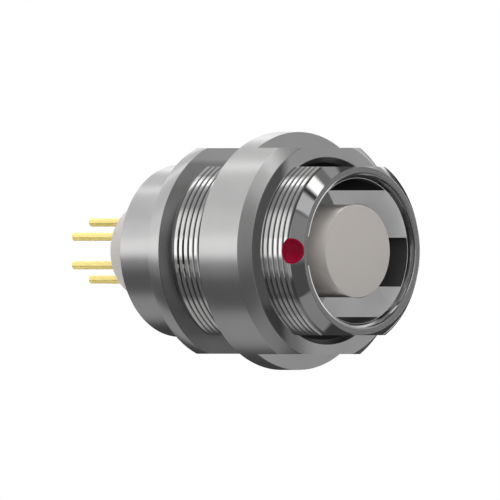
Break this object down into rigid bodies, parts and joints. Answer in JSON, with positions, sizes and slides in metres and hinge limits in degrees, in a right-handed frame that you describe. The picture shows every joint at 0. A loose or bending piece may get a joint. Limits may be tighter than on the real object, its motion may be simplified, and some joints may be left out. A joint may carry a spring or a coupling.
{
  "type": "push-pull receptacle",
  "caption": "Round metal panel receptacle for a push-pull plug, with a keyed socket, red index dot, front clamping nut and straight board pins behind.",
  "frame": {"origin": "on the connector axis, in the plane of the flange's front face, where the panel seats", "axes": "-Y out of the socket's mouth towards the plug, +Y along the board pins, +Z square to the barrel's flats, -X through the red index dot"},
  "size_m": [0.0173, 0.0273, 0.0174],
  "materials": {
    "polished_nickel": "nickel plating on brass, polished",
    "satin_nickel": "nickel plating on brass, satin turned",
    "keying_nickel": "nickel plating on brass, matt",
    "insulator_grey": "moulded, warm pale grey",
    "contact_gold": "gold plating on brass",
    "index_red": "red enamel",
    "crown_brass": "spring brass, thin nickel",
    "seal_black": "moulded"
  },
  "bodies": {
    "receptacle": {"shell": "polished_nickel", "keying_sleeve": "keying_nickel", "front_insulator": "insulator_grey", "rear_insulator": "insulator_grey", "slip_washer": "satin_nickel", "retaining_ring": "satin_nickel", "locating_pin": "satin_nickel", "insert_seal": "seal_black", "earthing_crown": "crown_brass", "index_dot": "index_red", "contact_1": "contact_gold", "contact_2": "contact_gold", "contact_3": "contact_gold", "contact_4": "contact_gold", "contact_5": "contact_gold", "contact_6": "contact_gold"},
    "clamping_nut": {"front_nut": "satin_nickel"}
  },
  "joints": [
    {"name": "front_nut_turn", "type": "hinge", "parent": "receptacle", "child": "clamping_nut", "pos_m": [0, -0.00698, 0], "axis": [0, 1, 0], "continuous": true}
  ]
}
